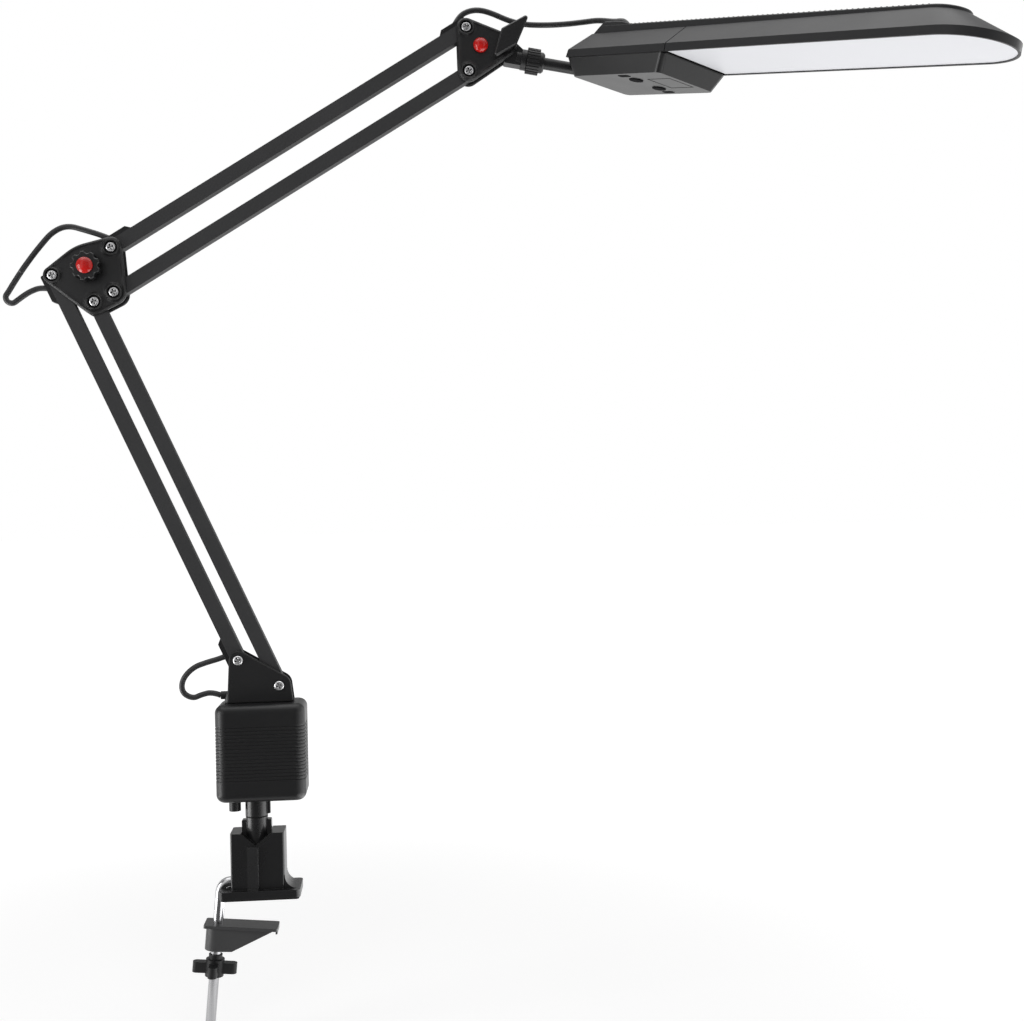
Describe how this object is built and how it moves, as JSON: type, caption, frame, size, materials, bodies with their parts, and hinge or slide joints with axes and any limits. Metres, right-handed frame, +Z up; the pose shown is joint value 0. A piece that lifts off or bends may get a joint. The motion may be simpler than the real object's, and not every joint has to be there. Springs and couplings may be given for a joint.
{
  "type": "clamp-on architect desk lamp",
  "caption": "Black clamp-on desk lamp with parallel-bar arms, grooved driver box, red knob caps and a long dark grey LED shade.",
  "frame": {"origin": "centre of the clamp seat: on the stem axis, in the plane of the clamp's underside that rests on the desk top", "axes": "+Z up along the stem, +X from the stem towards the head in the plane of the arms, +Y across the arms, -Z into the desk top"},
  "size_m": [0.795, 0.3517, 0.9211],
  "materials": {
    "black_paint": "satin black powder coat",
    "black_moulding": "fine textured black",
    "shade_grey": "fine textured dark grey",
    "red_cap": "glossy red",
    "bright_steel": "polished plating",
    "rod_steel": "drawn and plated",
    "jaw_grey": "satin grey",
    "opal_panel": "opal white",
    "board_green": "solder mask",
    "pad_rubber": "matt",
    "cord_black": "matt sheath"
  },
  "bodies": {
    "clamp": {"clamp_body": "black_paint", "clamp_pad": "pad_rubber"},
    "rod": {"clamp_rod": "rod_steel"},
    "jaw": {"clamp_jaw": "jaw_grey"},
    "nut": {"clamp_nut": "black_paint"},
    "base": {"base_stem": "black_paint", "box_fixings": "bright_steel", "box_front_shell": "black_moulding", "box_rear_shell": "black_moulding", "driver_board": "board_green", "base_bracket": "black_paint", "base_screws": "bright_steel", "base_sleeves": "rod_steel", "mains_gland": "black_moulding", "base_cord_gland": "black_moulding", "cord_base_loop": "cord_black"},
    "lower_rear": {"lower_rear_bar": "black_paint", "lower_clips": "black_moulding", "cord_lower_run": "cord_black"},
    "lower_front": {"lower_front_bar": "black_paint"},
    "elbow": {"elbow_front_plate": "black_moulding", "elbow_rear_plate": "black_moulding", "elbow_screws": "bright_steel", "elbow_sleeves": "rod_steel", "elbow_bolt": "bright_steel", "cord_elbow_1": "cord_black", "cord_elbow_2": "cord_black"},
    "knob": {"elbow_knob": "black_moulding", "elbow_knob_cap": "red_cap"},
    "upper_top": {"upper_top_bar": "black_paint", "upper_clips": "black_moulding", "cord_upper_run": "cord_black"},
    "upper_bottom": {"upper_bottom_bar": "black_paint"},
    "bracket": {"bracket_front_plate": "black_moulding", "bracket_rear_plate": "black_moulding", "bracket_screws": "bright_steel", "bracket_sleeves": "rod_steel", "bracket_cap": "red_cap", "cord_head_1": "cord_black"},
    "lever": {"wing_lever": "black_moulding", "tilt_stud": "bright_steel"},
    "knuckle": {"knuckle": "black_moulding", "cord_head_2": "cord_black"},
    "collar": {"lock_collar": "black_moulding"},
    "stem": {"head_stem": "black_moulding", "cord_head_3": "cord_black"},
    "head": {"rear_cover": "shade_grey", "shade": "shade_grey", "spine": "shade_grey", "head_cord_gland": "black_moulding", "diffuser": "opal_panel", "led_board": "board_green", "base_cover": "shade_grey", "access_plate": "shade_grey", "swivel_screw": "bright_steel", "switch_board": "board_green", "cord_head_4": "cord_black"},
    "button_a": {"button_a": "black_moulding"},
    "button_b": {"button_b": "black_moulding"}
  },
  "joints": [
    {"name": "rod_swing", "type": "hinge", "parent": "clamp", "child": "rod", "pos_m": [-0.0225, 0, 0.013], "axis": [0, 1, 0], "range_deg": [-5.5, 0.5]},
    {"name": "jaw_slide", "type": "slide", "parent": "rod", "child": "jaw", "axis": [0.0958, 0, 0.9954], "range_m": [-0.052, 0.018]},
    {"name": "nut_spin", "type": "hinge", "parent": "jaw", "child": "nut", "pos_m": [-0.03592, 0, -0.02283], "axis": [0.0958, 0, 0.9954], "range_deg": [-180, 180]},
    {"name": "base_swivel", "type": "hinge", "parent": "clamp", "child": "base", "pos_m": [0, 0, 0.045], "axis": [0, 0, 1], "range_deg": [-170, 170]},
    {"name": "lower_arm", "type": "hinge", "parent": "base", "child": "lower_rear", "pos_m": [-0.01275, 0, 0.2106], "axis": [0, 1, 0], "range_deg": [-12, 55], "deforming": ["cord_base_loop"]},
    {"name": "lower_front_turn", "type": "hinge", "parent": "base", "child": "lower_front", "pos_m": [0.02285, 0, 0.18715], "axis": [0, 1, 0], "range_deg": [-12.5, 55.5]},
    {"name": "elbow_level", "type": "hinge", "parent": "lower_rear", "child": "elbow", "pos_m": [-0.16647, 0, 0.55265], "axis": [0, 1, 0], "range_deg": [-55.5, 12.5], "deforming": ["cord_elbow_1"]},
    {"name": "elbow_knob_turn", "type": "hinge", "parent": "elbow", "child": "knob", "pos_m": [-0.13577, 0, 0.55895], "axis": [0, -1, 0], "range_deg": [-180, 180]},
    {"name": "upper_arm", "type": "hinge", "parent": "elbow", "child": "upper_top", "pos_m": [-0.1156, 0, 0.57695], "axis": [0, 1, 0], "range_deg": [-35, 70], "deforming": ["cord_elbow_2"]},
    {"name": "upper_bottom_turn", "type": "hinge", "parent": "elbow", "child": "upper_bottom", "pos_m": [-0.11385, 0, 0.53749], "axis": [0, 1, 0], "range_deg": [-35.5, 70.5]},
    {"name": "head_level", "type": "hinge", "parent": "upper_top", "child": "bracket", "pos_m": [0.20113, 0, 0.77394], "axis": [0, 1, 0], "range_deg": [-70.5, 35.5], "deforming": ["cord_head_1"]},
    {"name": "lever_turn", "type": "hinge", "parent": "bracket", "child": "lever", "pos_m": [0.23703, 0, 0.75834], "axis": [0, -1, 0], "range_deg": [-60, 60]},
    {"name": "head_tilt", "type": "hinge", "parent": "bracket", "child": "knuckle", "pos_m": [0.23703, 0, 0.75834], "axis": [0, 1, 0], "range_deg": [-45, 45], "deforming": ["cord_head_2"]},
    {"name": "collar_turn", "type": "hinge", "parent": "knuckle", "child": "collar", "pos_m": [0.26147, 0, 0.74607], "axis": [0.9868, 0, -0.162], "range_deg": [-60, 60]},
    {"name": "head_roll", "type": "hinge", "parent": "knuckle", "child": "stem", "pos_m": [0.26147, 0, 0.74607], "axis": [0.9868, 0, -0.162], "range_deg": [-40, 40], "deforming": ["cord_head_3"]},
    {"name": "head_swivel", "type": "hinge", "parent": "stem", "child": "head", "pos_m": [0.32798, 0, 0.73515], "axis": [0.1602, -0.1475, 0.976], "range_deg": [-3.5, 105], "deforming": ["cord_head_4"]},
    {"name": "button_a_press", "type": "slide", "parent": "head", "child": "button_a", "axis": [0.1602, -0.1475, 0.976], "range_m": [0, 0.0015], "stiffness_N_per_m": 300, "springref_m": -0.001},
    {"name": "button_b_press", "type": "slide", "parent": "head", "child": "button_b", "axis": [0.1602, -0.1475, 0.976], "range_m": [0, 0.0015], "stiffness_N_per_m": 300, "springref_m": -0.001}
  ],
  "couplings": [
    {"joint": "lower_front_turn", "follows": "lower_arm", "ratio": 1},
    {"joint": "elbow_level", "follows": "lower_arm", "ratio": -1},
    {"joint": "upper_bottom_turn", "follows": "upper_arm", "ratio": 1},
    {"joint": "head_level", "follows": "upper_arm", "ratio": -1}
  ]
}
